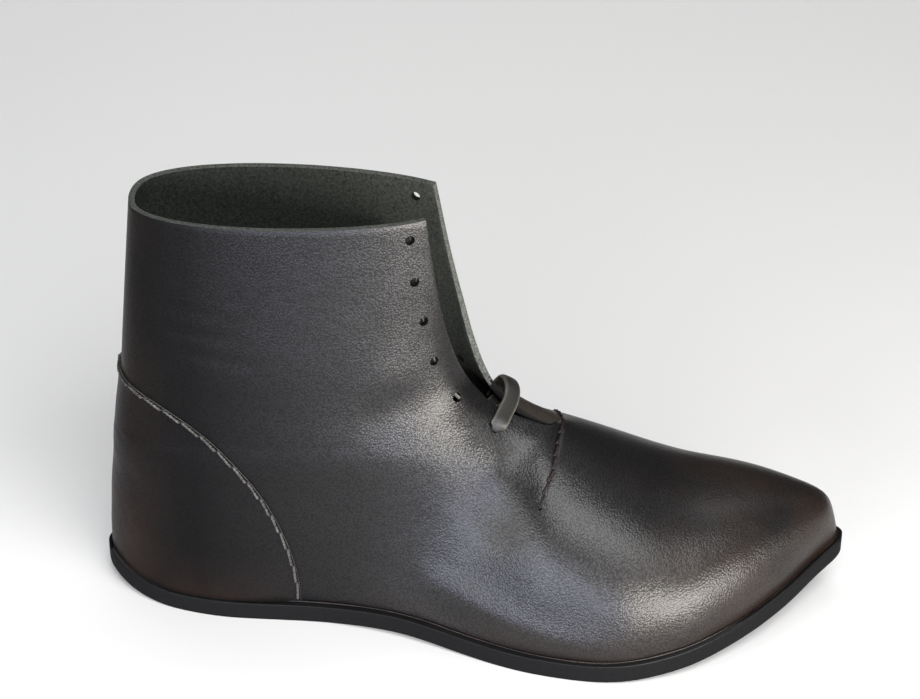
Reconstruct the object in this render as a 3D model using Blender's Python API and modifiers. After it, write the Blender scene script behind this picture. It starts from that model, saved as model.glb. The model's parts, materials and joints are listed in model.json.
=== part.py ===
"""A right leather ankle boot: flat rubber sole, hand-sewn upper, heel counter, tongue and thong lace.

The toe points along +X, the outer side of the foot faces -Y, and the boot stands on z = 0.
Sizes and tables are in millimetres and become metres when a vertex is placed.
A station is a distance from the back end of the sole, measured towards the toe.
"""

from functools import lru_cache
from math import acos, asin, cos, pi, sin

import bmesh
import bpy
from mathutils import Matrix, Vector

MM = 0.001
OBJECT_NAME = "leather_ankle_boot"

# Driving dimensions
SOLE_LENGTH = 288.0
SOLE_THICKNESS = 7.5
SOLE_EDGE_ROUND = 0.7
HEEL_RISE = 5.0
HEEL_RISE_END = 34.0
ARCH_RISE = 2.2
ARCH_START = 84.0
ARCH_END = 158.0
TOE_SPRING = 17.0
TOE_SPRING_START = 188.0
TOE_SPRING_POWER = 1.7
LEDGE = 3.0
LEDGE_TOE = 2.0
LEDGE_TOE_SHARE = 0.8
LEATHER = 2.4
SEAT_GAP = 0.3
BACK_LEAN = 0.115
BACK_STRAIGHT = 20.0
BACK_SKEW = 0.2
JUNCTION_REACHES = (32.0, 24.0, 16.0, 16.0, 10.0)
JUNCTION_TOP = 76.0
COUNTER_THICKNESS = 1.2
COUNTER_GAP = 0.45
COUNTER_LIFT = 1.0
COUNTER_LENGTH = 77.0
COUNTER_HEIGHT = 99.5
COUNTER_SEAT_BACK = -10.0
COUNTER_SEAT_FRONT = 90.0
INSOLE_THICKNESS = 2.0
INSOLE_MARGIN = 1.2
TONGUE_THICKNESS = 2.0
TONGUE_BOW = 4.0
EYELET_DIAMETER = 3.6
LACE_WIDTH = 5.0
LACE_THICKNESS = 1.5
LACE_CLEARANCE = 0.6

# Fine steps, for slopes and for measuring over the surface: in shares, radians or levels
PLAN_STEP = 0.004
SLOPE_STEP = 0.02
ANGLE_STEP = 0.004
LEVEL_STEP = 0.002

# Mesh density
SOLE_ROWS = 40
SOLE_COLUMNS = 4
UPPER_COLUMNS = 13
ROWS_AN_ARCH = 3
BACK_COLUMNS = 14
THROAT_ROWS = 13
COUNTER_ROWS = 19
COUNTER_COLUMNS = 11
TONGUE_ROWS = 18
TONGUE_COLUMNS = 6
EYELET_SIDES = 12
LACE_STEPS_A_POINT = 4
COUNTER_CUTTER_SIDES = 80

# Sole plan: the y of the outer and the inner edge, measured from the middle of the heel.
SOLE_PLAN_COLUMNS = ("station", "outer_y", "inner_y")
SOLE_PLAN = (
    (0.0, 0.0, 0.0),
    (5.0, -11.3, 11.3),
    (16.0, -21.3, 21.2),
    (32.0, -28.0, 27.6),
    (56.0, -31.5, 30.8),
    (84.0, -31.4, 29.0),
    (112.0, -36.4, 28.2),
    (143.0, -47.3, 32.2),
    (174.0, -56.9, 39.2),
    (200.0, -59.7, 43.3),
    (225.0, -53.8, 43.0),
    (248.0, -39.4, 38.2),
    (266.0, -22.4, 29.6),
    (279.0, -5.8, 19.0),
    (288.0, 8.0, 8.0),
)

# Arches of the vamp, from the toe tip back to the foot of the throat. Each stands with both feet
# on the sole and rises to its front point on the ridge, where the throat opens by "half_gap".
ARCH_COLUMNS = ("foot", "front", "front_z", "front_y", "half_gap", "inner_w", "fullness")
ARCHES = (
    (288.0, 286.0, 24.5, 8.0, 0.0, 0.0, 0.85),
    (279.0, 281.0, 41.5, 7.0, 0.0, 0.0, 0.82),
    (266.0, 266.5, 47.3, 5.5, 0.0, 0.0, 0.80),
    (248.0, 248.0, 51.6, 4.0, 0.0, 0.0, 0.80),
    (228.0, 229.0, 54.5, 3.0, 0.0, 0.0, 0.82),
    (208.0, 212.0, 60.9, 2.5, 0.0, 0.0, 0.86),
    (188.0, 195.5, 69.6, 2.0, 0.0, 0.0, 0.92),
    (168.0, 177.0, 79.0, 1.0, 0.0, 0.0, 0.95),
    (147.0, 171.0, 81.3, 0.5, 0.4, 31.0, 0.95),
    (125.0, 166.0, 83.0, 0.0, 0.7, 31.0, 0.95),
)
THROAT_ARCH_NUMBER = len(ARCHES) - 1

# Levels of heel and shaft, each a U from the back line round to the front: 0 lies on the sole,
# 1 at the foot of the throat, 2 is the collar. Below 1 they end on the last arch, above it on the
# throat. "back" is the height up the back line, "plan" how far a level still keeps the sole's plan.
LEVEL_COLUMNS = ("level", "back", "outer_w", "inner_w", "fullness", "plan")
LEVELS = (
    (0.0, 0.0, 36.0, 31.0, 0.90, 1.0),
    (0.25, 20.0, 37.0, 32.0, 0.85, 0.8),
    (0.5, 42.0, 31.0, 30.0, 0.78, 0.45),
    (0.75, 56.0, 29.8, 29.0, 0.78, 0.1),
    (1.0, 64.0, 29.0, 28.4, 0.80, 0.0),
    (1.2, 82.0, 27.8, 27.4, 0.80, 0.0),
    (1.4, 100.0, 26.4, 26.4, 0.78, 0.0),
    (1.6, 118.0, 25.0, 25.0, 0.76, 0.0),
    (1.8, 138.0, 23.4, 23.4, 0.75, 0.0),
    (2.0, 159.0, 21.9, 21.9, 0.75, 0.0),
)
THROAT_COLUMNS = ("level", "front", "front_z", "half_gap")
THROAT = (
    (1.0, 166.0, 83.0, 0.7),
    (1.2, 150.0, 92.0, 3.3),
    (1.4, 142.5, 105.0, 7.0),
    (1.6, 137.5, 122.0, 10.4),
    (1.8, 133.0, 144.0, 13.0),
    (2.0, 128.7, 172.0, 13.7),
)
COLLAR = 2.0

# Eyelets of one flap, from the collar down: measured down the flap's edge, and inwards from it.
EYELET_COLUMNS = ("from_collar", "from_edge")
EYELETS = (
    (6.8, 7.6),
    (24.6, 9.0),
    (42.0, 9.6),
    (60.2, 11.5),
    (78.8, 12.4),
    (98.8, 17.0),
)

# Tongue, from its root under the vamp to its free top.
TONGUE_PLAN_COLUMNS = ("station", "z", "half_width")
TONGUE_PLAN = (
    (179.0, 75.0, 7.0),
    (166.0, 76.5, 8.0),
    (154.0, 79.3, 9.0),
    (144.5, 85.3, 10.0),
    (137.0, 96.5, 11.5),
    (130.5, 110.5, 13.0),
    (124.5, 130.0, 14.0),
    (119.0, 152.0, 13.0),
)

# Places across the flaps: 1 is the row of eyelets, 0 the middle of the throat, below 0 the outer flap.
# The lace goes by the share of the way from the laced eyelet up to the top one, and the place there:
# its bar rises a little over the middle, and its hidden ends run up inside the shaft.
LACE_BAR_ROUTE = (
    (0.0, -1.0),
    (0.035, -0.4),
    (0.035, 0.4),
    (0.0, 1.0),
)
LACE_END_ROUTES = {
    "lace_end_lateral": (
        (0.0, -1.0),
        (0.06, -1.3),
        (0.14, -1.6),
        (0.4, -1.6),
        (0.7, -1.6),
        (1.0, -1.6),
    ),
    "lace_end_medial": (
        (0.0, 1.0),
        (0.06, 0.4),
        (0.12, -0.2),
        (0.2, -0.6),
        (0.35, -0.7),
        (0.7, -0.7),
        (1.0, -0.7),
    ),
}


# Interpolation


def smooth(xs, ys, x):
    """Monotone cubic through the points (xs, ys), held level beyond its ends."""
    if x <= xs[0]:
        return ys[0]
    if x >= xs[-1]:
        return ys[-1]
    steps = [b - a for a, b in zip(xs, xs[1:])]
    slopes = [(b - a) / step for a, b, step in zip(ys, ys[1:], steps)]
    tangents = [slopes[0]]
    for i in range(1, len(slopes)):
        if slopes[i - 1] * slopes[i] <= 0.0:
            tangents.append(0.0)
            continue
        before = 2 * steps[i] + steps[i - 1]
        after = steps[i] + 2 * steps[i - 1]
        tangents.append((before + after) / (before / slopes[i - 1] + after / slopes[i]))
    tangents.append(slopes[-1])
    i = max(j for j in range(len(steps)) if xs[j] <= x)
    f = (x - xs[i]) / steps[i]
    start = (1 + 2 * f) * (1 - f) ** 2 * ys[i] + f * (1 - f) ** 2 * steps[i] * tangents[i]
    end = f * f * (3 - 2 * f) * ys[i + 1] + f * f * (f - 1) * steps[i] * tangents[i + 1]
    return start + end


def column(table, names, name):
    return [row[names.index(name)] for row in table]


# Sole plan and heights


def along(station):
    """Share of the way from heel to toe, with more shares near the ends, so that these stay round."""
    return acos(1 - 2 * station / SOLE_LENGTH) / pi


PLAN_SHARES = [along(station) for station in column(SOLE_PLAN, SOLE_PLAN_COLUMNS, "station")]
PLAN_EDGES = {
    -1: column(SOLE_PLAN, SOLE_PLAN_COLUMNS, "outer_y"),
    1: column(SOLE_PLAN, SOLE_PLAN_COLUMNS, "inner_y"),
}


def plan_edge(share, side, inset=0.0):
    """A point of the sole's edge, on the outer side (-1) or the inner (1), moved inwards by inset."""
    share = min(max(share, 0.0), 1.0)
    spot = Vector((SOLE_LENGTH * (1 - cos(pi * share)) / 2, smooth(PLAN_SHARES, PLAN_EDGES[side], share)))
    if inset == 0.0:
        return spot
    if share < PLAN_STEP or share > 1 - PLAN_STEP:
        inwards = Vector((1.0 if share < 0.5 else -1.0, 0.0))
    else:
        run = plan_edge(share + PLAN_STEP, side) - plan_edge(share - PLAN_STEP, side)
        inwards = Vector((run.y, -run.x)).normalized() * side
    return spot + inwards * inset


def sole_bottom(station):
    heel = max(0.0, (HEEL_RISE_END - station) / HEEL_RISE_END)
    toe = max(0.0, (station - TOE_SPRING_START) / (SOLE_LENGTH - TOE_SPRING_START))
    arch = min(max((station - ARCH_START) / (ARCH_END - ARCH_START), 0.0), 1.0)
    return HEEL_RISE * heel**2 + TOE_SPRING * toe**TOE_SPRING_POWER + ARCH_RISE * sin(pi * arch) ** 2


def sole_top(station):
    return sole_bottom(station) + SOLE_THICKNESS


# The middle of the part's box lies halfway between the widest points of the sole.
SAMPLE_SHARES = [i / 400 for i in range(401)]
OUTER_REACH = min(plan_edge(share, -1).y for share in SAMPLE_SHARES)
INNER_REACH = max(plan_edge(share, 1).y for share in SAMPLE_SHARES)
MIDDLE = Vector((SOLE_LENGTH / 2, (OUTER_REACH + INNER_REACH) / 2, 0.0))


def world(spot):
    return (spot - MIDDLE) * MM


def seat(station):
    return sole_top(station) + SEAT_GAP


# The line where the upper's wall stands on the sole.
FEATHER = {side: [plan_edge(share, side, LEDGE) for share in SAMPLE_SHARES] for side in (-1, 1)}


def feather_width(side, station):
    spots = FEATHER[side]
    i = max(1, next((j for j, spot in enumerate(spots) if spot.x > station), len(spots) - 1))
    share = (station - spots[i - 1].x) / (spots[i].x - spots[i - 1].x)
    return abs(spots[i - 1].lerp(spots[i], max(share, 0.0)).y)


# The outer surface of the upper is read by a section (an arch of the vamp or a level of heel and
# shaft) and an angle, which is 0 at the front and grows down to the foot, or round to the back.
# Side -1 is the outer side of the foot, side 1 the inner.


class Arch:
    def __init__(self, number):
        share = self.read(number, [along(station) for station in column(ARCHES, ARCH_COLUMNS, "foot")])
        row = {name: self.read(number, column(ARCHES, ARCH_COLUMNS, name)) for name in ARCH_COLUMNS}
        inset = LEDGE + (LEDGE_TOE - LEDGE) * smooth((LEDGE_TOE_SHARE, 1.0), (0.0, 1.0), share)
        feet = {side: plan_edge(share, side, inset) for side in (-1, 1)}
        station = (feet[-1].x + feet[1].x) / 2
        self.root = Vector((station, row["front_y"], seat(station)))
        self.front = Vector((row["front"], row["front_y"], row["front_z"]))
        self.half_gap = row["half_gap"]
        self.fullness = row["fullness"]
        self.feet = {side: abs(feet[side].y - row["front_y"]) for side in (-1, 1)}
        self.widths = {-1: self.feet[-1], 1: max(row["inner_w"], self.feet[1])}

    @staticmethod
    def read(number, values):
        return smooth(range(len(values)), values, number)

    def width_angle(self, width, side):
        return asin(min(1.0, width / self.widths[side]) ** (1 / self.fullness))

    def foot_angle(self, side):
        return pi - self.width_angle(self.feet[side], side)

    def edge_angle(self, side):
        return self.width_angle(self.half_gap, side)

    def point(self, angle, side):
        low = cos(self.foot_angle(side))
        share = (cos(angle) - low) / (cos(self.edge_angle(side)) - low)
        width = self.widths[side] * max(0.0, sin(angle)) ** self.fullness
        return self.root.lerp(self.front, share) + Vector((0.0, side * width, 0.0))


class Level:
    def __init__(self, number):
        levels = column(LEVELS, LEVEL_COLUMNS, "level")
        row = {name: smooth(levels, column(LEVELS, LEVEL_COLUMNS, name), number) for name in LEVEL_COLUMNS}
        lean = BACK_LEAN * row["back"] ** 2 / (row["back"] + BACK_STRAIGHT)
        self.root = Vector((LEDGE + lean, 0.0, seat(LEDGE) + row["back"]))
        self.fullness = row["fullness"]
        self.plan = row["plan"]
        self.fronts = {side: self.front(number, side) for side in (-1, 1)}
        self.gaps = {side: abs(self.fronts[side].y) for side in (-1, 1)}
        wide = {-1: row["outer_w"], 1: row["inner_w"]}
        self.widths = {side: max(wide[side], self.gaps[side]) for side in (-1, 1)}

    @staticmethod
    def front(number, side):
        """Where a level ends at the front: on the last arch, or on the edge of the throat."""
        if number < 1.0:
            foot, edge = THROAT_ARCH.foot_angle(side), THROAT_ARCH.edge_angle(side)
            return THROAT_ARCH.point(foot + (edge - foot) * number, side)
        levels = column(THROAT, THROAT_COLUMNS, "level")
        names = THROAT_COLUMNS[1:]
        station, z, gap = (smooth(levels, column(THROAT, THROAT_COLUMNS, name), number) for name in names)
        return Vector((station, side * gap, z))

    def edge_angle(self, side):
        return asin(min(1.0, self.gaps[side] / self.widths[side]) ** (1 / self.fullness))

    def point(self, angle, side):
        end = cos(self.edge_angle(side))
        share = (cos(angle) + 1) / (end + 1)
        spine = self.root.lerp(self.fronts[side], share)
        skew = 1 + BACK_SKEW * (end - cos(angle)) / (end + 1)
        width = self.widths[side] * max(0.0, sin(angle)) ** self.fullness * skew
        if self.plan == 0.0:
            return Vector((spine.x, side * width, spine.z))
        station = LEDGE + (THROAT_ARCH.root.x - LEDGE) * share
        narrowing = 1 - self.gaps[side] / feather_width(side, THROAT_ARCH.root.x)
        plan_width = feather_width(side, station) * (1 - narrowing * share**2)
        dip = seat(station) - (seat(LEDGE) * (1 - share) + seat(THROAT_ARCH.root.x) * share)
        width += (plan_width - width) * self.plan
        return Vector((spine.x, side * width, spine.z + dip * self.plan))


THROAT_ARCH = Arch(THROAT_ARCH_NUMBER)


@lru_cache(maxsize=None)
def arch(number):
    return Arch(number)


@lru_cache(maxsize=None)
def level(number):
    return Level(number)


def outwards(number, angle, side):
    """Unit normal of the outer surface at a level."""
    above = level(min(number + SLOPE_STEP, COLLAR))
    below = level(max(number - SLOPE_STEP, 0.0))
    rise = above.point(angle, side) - below.point(angle, side)
    here = level(number)
    if angle > pi - SLOPE_STEP:
        across = here.point(pi - SLOPE_STEP, -1) - here.point(pi - SLOPE_STEP, 1)
    elif angle < SLOPE_STEP:
        across = here.point(SLOPE_STEP, 1) - here.point(SLOPE_STEP, -1)
    else:
        across = (here.point(angle + SLOPE_STEP, side) - here.point(angle - SLOPE_STEP, side)) * side
    return across.cross(rise).normalized()


def surface(number, angle, side, offset=0.0):
    return level(number).point(angle, side) + outwards(number, angle, side) * offset


def angle_from_edge(number, side, distance):
    """Angle at a distance from the flap's edge, measured over the surface."""
    here = level(number)
    angle = here.edge_angle(side)
    while distance > 0.0:
        distance -= (here.point(angle + ANGLE_STEP, side) - here.point(angle, side)).length
        angle += ANGLE_STEP
    return angle


def level_from_collar(distance):
    """Level whose front lies at a distance from the collar, measured down the flap's edge."""
    number = COLLAR
    while distance > 0.0:
        distance -= (Level.front(number, 1) - Level.front(number - LEVEL_STEP, 1)).length
        number -= LEVEL_STEP
    return number


EYELET_LEVELS = [level_from_collar(distance) for distance in column(EYELETS, EYELET_COLUMNS, "from_collar")]
EYELET_INSETS = column(EYELETS, EYELET_COLUMNS, "from_edge")
LACED_LEVEL = EYELET_LEVELS[-1]
LACED_INSET = EYELET_INSETS[-1]


# Mesh helpers


def add_grid(bm, rows, columns, place):
    """A sheet of rows and columns, each vertex put where place(row share, column share) says."""
    made = bmesh.ops.create_grid(bm, x_segments=columns, y_segments=rows, size=0.5)
    for vert in made["verts"]:
        vert.co = world(place(vert.co.y + 0.5, vert.co.x + 0.5))


def close_seams(bm, faces_out):
    """Joins sheets along shared edges and turns their faces to the side that faces_out asks for."""
    bmesh.ops.remove_doubles(bm, verts=bm.verts, dist=1e-6)
    bmesh.ops.recalc_face_normals(bm, faces=bm.faces)
    bm.normal_update()
    if sum(faces_out(face) * face.calc_area() for face in bm.faces) < 0.0:
        bmesh.ops.reverse_faces(bm, faces=bm.faces)
    bmesh.ops.triangulate(bm, faces=bm.faces, quad_method="SHORT_EDGE")


def away_from_middle(face):
    return face.normal.y * (face.calc_center_median().y + MIDDLE.y * MM)


def facing_down(face):
    return -face.normal.z


def facing_forward(face):
    return face.normal.x


def principled(name, colour, roughness):
    material = bpy.data.materials.new(name)
    material.use_nodes = True
    shader = material.node_tree.nodes["Principled BSDF"]
    shader.inputs["Base Color"].default_value = (*colour, 1.0)
    shader.inputs["Roughness"].default_value = roughness
    shader.inputs["Metallic"].default_value = 0.0
    return material


def add_part(name, bm, collection, material=None):
    mesh = bpy.data.meshes.new(name)
    bm.to_mesh(mesh)
    bm.free()
    mesh.shade_smooth()
    part = bpy.data.objects.new(name, mesh)
    collection.objects.link(part)
    if material is None:
        part.hide_render = True
        part.display_type = "WIRE"
    else:
        mesh.materials.append(material)
    return part


def thicken(part, thickness, offset):
    shell = part.modifiers.new("Thickness", "SOLIDIFY")
    shell.thickness = thickness * MM
    shell.offset = offset
    shell.use_even_offset = True


def cut(part, cutter, operation, solver="EXACT"):
    boolean = part.modifiers.new(operation.title(), "BOOLEAN")
    boolean.object = cutter
    boolean.operation = operation
    boolean.solver = solver


# Parts


def second_skin(bm):
    """Doubles an open sheet, joins the two round their rims, and gives the vertices of the new one."""
    made = bmesh.ops.extrude_face_region(bm, geom=bm.faces[:], use_keep_orig=True)
    return [item for item in made["geom"] if isinstance(item, bmesh.types.BMVert)]


def turn_faces_out(bm):
    bmesh.ops.recalc_face_normals(bm, faces=bm.faces)
    if bm.calc_volume(signed=True) < 0.0:
        bmesh.ops.reverse_faces(bm, faces=bm.faces)


def slab(edges, height, thickness):
    """A slab between two plan edges, made by raising a sheet straight up from its height."""

    def place(row, across):
        outer, inner = edges(row)
        spot = outer.lerp(inner, across)
        return Vector((spot.x, spot.y, height(spot.x)))

    bm = bmesh.new()
    add_grid(bm, SOLE_ROWS, SOLE_COLUMNS, place)
    close_seams(bm, facing_down)
    bmesh.ops.translate(bm, vec=(0.0, 0.0, thickness * MM), verts=second_skin(bm))
    turn_faces_out(bm)
    return bm


def sole_edges(inset):
    return lambda row: (plan_edge(row, -1, inset), plan_edge(row, 1, inset))


def make_outsole(parts, material):
    sole = add_part("outsole", slab(sole_edges(0.0), sole_bottom, SOLE_THICKNESS), parts, material)
    rounding = sole.modifiers.new("Rounded edge", "BEVEL")
    rounding.width = SOLE_EDGE_ROUND * MM
    rounding.segments = 1
    rounding.limit_method = "ANGLE"


def make_insole(parts, material):
    inset = LEDGE + LEATHER + INSOLE_MARGIN
    sheet = slab(sole_edges(inset), seat, INSOLE_THICKNESS)
    add_part("insole", sheet, parts, material)


def back_level(row):
    """Level of a row of heel and shaft: first a row for each column of the last arch, then the throat."""
    return row / UPPER_COLUMNS if row <= UPPER_COLUMNS else 1 + (row - UPPER_COLUMNS) / THROAT_ROWS


def back_angle(number, side, column_number):
    return pi + (level(number).edge_angle(side) - pi) * column_number / BACK_COLUMNS


def make_upper(parts, cutters, material):
    arch_rows = THROAT_ARCH_NUMBER * ROWS_AN_ARCH
    level_rows = UPPER_COLUMNS + THROAT_ROWS
    bm = bmesh.new()
    for side in (-1, 1):

        def vamp(row, across, side=side):
            here = arch(THROAT_ARCH_NUMBER * row)
            if row == 0.0:
                return here.root
            foot, edge = here.foot_angle(side), here.edge_angle(side)
            return here.point(foot + (edge - foot) * across, side)

        def shaft(row, across, side=side):
            number = back_level(round(row * level_rows))
            return surface(number, back_angle(number, side, round(across * BACK_COLUMNS)), side)

        add_grid(bm, arch_rows, UPPER_COLUMNS, vamp)
        add_grid(bm, level_rows, BACK_COLUMNS, shaft)
    ease_junction(bm)
    close_seams(bm, away_from_middle)
    line_with_flesh_side(bm)
    upper = add_part("upper", bm, parts, material)
    cut(upper, make_eyelet_punches(cutters), "DIFFERENCE")


def ease_junction(bm):
    """Softens the line where the arches of the vamp meet the levels of heel and shaft."""
    bmesh.ops.remove_doubles(bm, verts=bm.verts, dist=1e-6)
    rise = THROAT_ARCH.front - THROAT_ARCH.root
    across = Vector((rise.z, 0.0, -rise.x)).normalized()
    for reach in JUNCTION_REACHES:
        near = [
            vert
            for vert in bm.verts
            if not vert.is_boundary
            and vert.co.z < JUNCTION_TOP * MM
            and abs((vert.co - world(THROAT_ARCH.root)).dot(across)) < reach * MM
        ]
        bmesh.ops.smooth_vert(bm, verts=near, factor=0.5, use_axis_x=True, use_axis_y=True, use_axis_z=True)


def line_with_flesh_side(bm):
    """Gives the grain side its wall: a skin one leather's thickness inside it, and clear of the sole."""
    inwards = bm.verts.layers.float_vector.new("inwards")
    bm.normal_update()
    for vert in bm.verts:
        vert[inwards] = -vert.normal
    for vert in second_skin(bm):
        vert.co += vert[inwards] * LEATHER * MM
        vert.co.z = max(vert.co.z, seat(vert.co.x / MM + MIDDLE.x) * MM)
    turn_faces_out(bm)


def make_eyelet_punches(cutters):
    bm = bmesh.new()
    for number, inset in zip(EYELET_LEVELS, EYELET_INSETS):
        for side in (-1, 1):
            angle = angle_from_edge(number, side, inset)
            axis = outwards(number, angle, side).to_track_quat("Z", "Y").to_matrix().to_4x4()
            bmesh.ops.create_cone(
                bm,
                cap_ends=True,
                segments=EYELET_SIDES,
                radius1=EYELET_DIAMETER / 2 * MM,
                radius2=EYELET_DIAMETER / 2 * MM,
                depth=4 * LEATHER * MM,
                matrix=Matrix.Translation(world(surface(number, angle, side))) @ axis,
            )
    return add_part("eyelet_punches", bm, cutters)


def make_heel_counter(parts, cutters, material):
    """The counter is the skin just outside the upper, kept inside an elliptic seam line."""
    bm = bmesh.new()
    for side in (-1, 1):

        def place(row, across, side=side):
            number = back_level(round(row * COUNTER_ROWS))
            angle = back_angle(number, side, round(across * COUNTER_COLUMNS))
            return surface(number, angle, side, COUNTER_GAP)

        add_grid(bm, COUNTER_ROWS, COUNTER_COLUMNS, place)
    close_seams(bm, away_from_middle)
    counter = add_part("heel_counter", bm, parts, material)
    thicken(counter, COUNTER_THICKNESS, 1.0)
    seam = bmesh.new()
    bmesh.ops.create_cone(
        seam,
        cap_ends=True,
        segments=COUNTER_CUTTER_SIDES,
        radius1=1.0,
        radius2=1.0,
        depth=SOLE_LENGTH * MM,
        matrix=Matrix.Translation(world(Vector((LEDGE, 0.0, SOLE_THICKNESS))))
        @ Matrix.Diagonal((COUNTER_LENGTH * MM, 1.0, (COUNTER_HEIGHT - SOLE_THICKNESS) * MM, 1.0))
        @ Matrix.Rotation(pi / 2, 4, "X"),
    )
    cut(counter, add_part("counter_seam_line", seam, cutters), "INTERSECT", "MANIFOLD")

    def seat_edges(row):
        station = COUNTER_SEAT_BACK + (COUNTER_SEAT_FRONT - COUNTER_SEAT_BACK) * row
        return Vector((station, -COUNTER_SEAT_FRONT)), Vector((station, COUNTER_SEAT_FRONT))

    below = slab(seat_edges, sole_bottom, SOLE_THICKNESS + COUNTER_LIFT)
    cut(counter, add_part("counter_seat", below, cutters), "DIFFERENCE", "MANIFOLD")


def make_tongue(parts, material):
    rows = range(len(TONGUE_PLAN))

    def read(name, mark):
        return smooth(rows, column(TONGUE_PLAN, TONGUE_PLAN_COLUMNS, name), mark)

    def middle(mark):
        return Vector((read("station", mark), 0.0, read("z", mark)))

    def place(row, across):
        mark = row * rows[-1]
        run = middle(min(mark + SLOPE_STEP, rows[-1])) - middle(max(mark - SLOPE_STEP, 0.0))
        inwards = Vector((-run.z, 0.0, run.x)).normalized()
        aside = 2 * across - 1
        sideways = Vector((0.0, aside * read("half_width", mark), 0.0))
        return middle(mark) + inwards * TONGUE_BOW * aside**2 + sideways

    bm = bmesh.new()
    add_grid(bm, TONGUE_ROWS, TONGUE_COLUMNS, place)
    close_seams(bm, facing_forward)
    tongue = add_part("tongue", bm, parts, material)
    thicken(tongue, TONGUE_THICKNESS, -1.0)


def lace_frame(number, place, offset):
    """Spot and normal on the flaps, at a place across the throat measured in eyelet distances."""
    side = -1 if place < 0.0 else 1
    angle = abs(place) * angle_from_edge(number, side, LACED_INSET)
    return surface(number, angle, side, offset), outwards(number, angle, side)


def make_strap(name, route, offset, grow, parts, material):
    """A flat thong of the lace's width along a route of (share, place), thickened to one side."""
    knots = range(len(route))
    rise = EYELET_LEVELS[0] - LACED_LEVEL
    steps = LACE_STEPS_A_POINT * (len(route) - 1)
    marks = [i * (len(route) - 1) / steps for i in range(steps + 1)]
    frames = []
    for mark in marks:
        share, place = (smooth(knots, [point[i] for point in route], mark) for i in (0, 1))
        frames.append(lace_frame(LACED_LEVEL + rise * share, place, offset))

    def place_vertex(row, across):
        i = round(row * steps)
        run = frames[min(i + 1, steps)][0] - frames[max(i - 1, 0)][0]
        aside = run.cross(frames[i][1]).normalized()
        return frames[i][0] + aside * LACE_WIDTH * (across - 0.5)

    def away_from_flap(face):
        nearest = min(frames, key=lambda frame: (world(frame[0]) - face.calc_center_median()).length)
        return face.normal.dot(nearest[1])

    bm = bmesh.new()
    add_grid(bm, steps, 2, place_vertex)
    close_seams(bm, away_from_flap)
    thicken(add_part(name, bm, parts, material), LACE_THICKNESS, grow)


def make_lace(parts, material):
    make_strap("lace_bar", LACE_BAR_ROUTE, LACE_CLEARANCE, 1.0, parts, material)
    for name, route in LACE_END_ROUTES.items():
        make_strap(name, route, -(LEATHER + LACE_CLEARANCE), -1.0, parts, material)


def main():
    for old in list(bpy.data.objects):
        bpy.data.objects.remove(old, do_unlink=True)
    parts = bpy.data.collections.new(OBJECT_NAME)
    cutters = bpy.data.collections.new("cutters")
    for collection in (parts, cutters):
        bpy.context.scene.collection.children.link(collection)
    leather = principled("black_leather", (0.018, 0.017, 0.017), 0.42)
    counter_leather = principled("black_counter_leather", (0.020, 0.018, 0.017), 0.40)
    tongue_leather = principled("black_tongue_leather", (0.022, 0.021, 0.020), 0.55)
    thong_leather = principled("black_thong_leather", (0.020, 0.019, 0.019), 0.50)
    inner_leather = principled("dark_insole_leather", (0.060, 0.055, 0.050), 0.80)
    rubber = principled("black_sole_rubber", (0.035, 0.035, 0.036), 0.70)
    make_outsole(parts, rubber)
    make_insole(parts, inner_leather)
    make_upper(parts, cutters, leather)
    make_heel_counter(parts, cutters, counter_leather)
    make_tongue(parts, tongue_leather)
    make_lace(parts, thong_leather)


main()
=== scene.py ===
import json
import math
import random

import bmesh
import bpy
from mathutils import Matrix, Vector
from mathutils.bvhtree import BVHTree
from mathutils.geometry import interpolate_bezier
from mathutils.kdtree import KDTree


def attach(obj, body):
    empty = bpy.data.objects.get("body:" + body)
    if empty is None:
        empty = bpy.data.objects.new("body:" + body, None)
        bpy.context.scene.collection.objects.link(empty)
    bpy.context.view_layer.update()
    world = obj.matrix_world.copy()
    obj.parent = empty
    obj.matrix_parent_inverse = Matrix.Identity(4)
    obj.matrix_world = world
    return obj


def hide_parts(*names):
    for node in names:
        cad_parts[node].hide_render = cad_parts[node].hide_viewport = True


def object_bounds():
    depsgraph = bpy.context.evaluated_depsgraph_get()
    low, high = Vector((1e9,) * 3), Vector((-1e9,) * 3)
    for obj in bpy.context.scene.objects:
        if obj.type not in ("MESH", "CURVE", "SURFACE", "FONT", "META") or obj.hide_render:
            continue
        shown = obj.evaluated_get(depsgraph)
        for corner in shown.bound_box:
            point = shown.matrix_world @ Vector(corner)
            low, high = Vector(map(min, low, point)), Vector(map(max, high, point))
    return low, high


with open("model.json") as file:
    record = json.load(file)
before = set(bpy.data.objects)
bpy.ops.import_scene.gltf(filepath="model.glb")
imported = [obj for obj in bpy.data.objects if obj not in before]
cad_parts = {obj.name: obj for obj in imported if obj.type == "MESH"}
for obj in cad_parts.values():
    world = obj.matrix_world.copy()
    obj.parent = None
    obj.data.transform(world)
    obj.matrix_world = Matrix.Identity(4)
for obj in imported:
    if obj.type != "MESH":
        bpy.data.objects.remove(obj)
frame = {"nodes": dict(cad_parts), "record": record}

mm = 0.001
cadLow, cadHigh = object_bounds()
nodes = frame["nodes"]
heelMiddle = next(mount["pos_m"][1] for mount in frame["record"]["mounts"] if mount["name"] == "heel_tread")
mergeStep = 0.01 * mm
sliverStep = 0.05 * mm
sleeveStep = 0.001 * mm
planeStep = 0.0001 * mm
curveSteps = 16
print("frame loaded,", len(nodes), "solids")


# Shoe places, in millimetres: station from the sole's back end, aside from the heel's middle line, height
def shoePoint(station, aside, height):
    return Vector((cadLow.x + station * mm, heelMiddle + aside * mm, height * mm))


def shoePlace(point):
    return (point.x - cadLow.x) / mm, (point.y - heelMiddle) / mm, point.z / mm


def ease(low, high, value):  # 0 below low, 1 above high, soft between
    share = min(max((value - low) / (high - low), 0.0), 1.0)
    return share * share * (3 - 2 * share)


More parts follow.
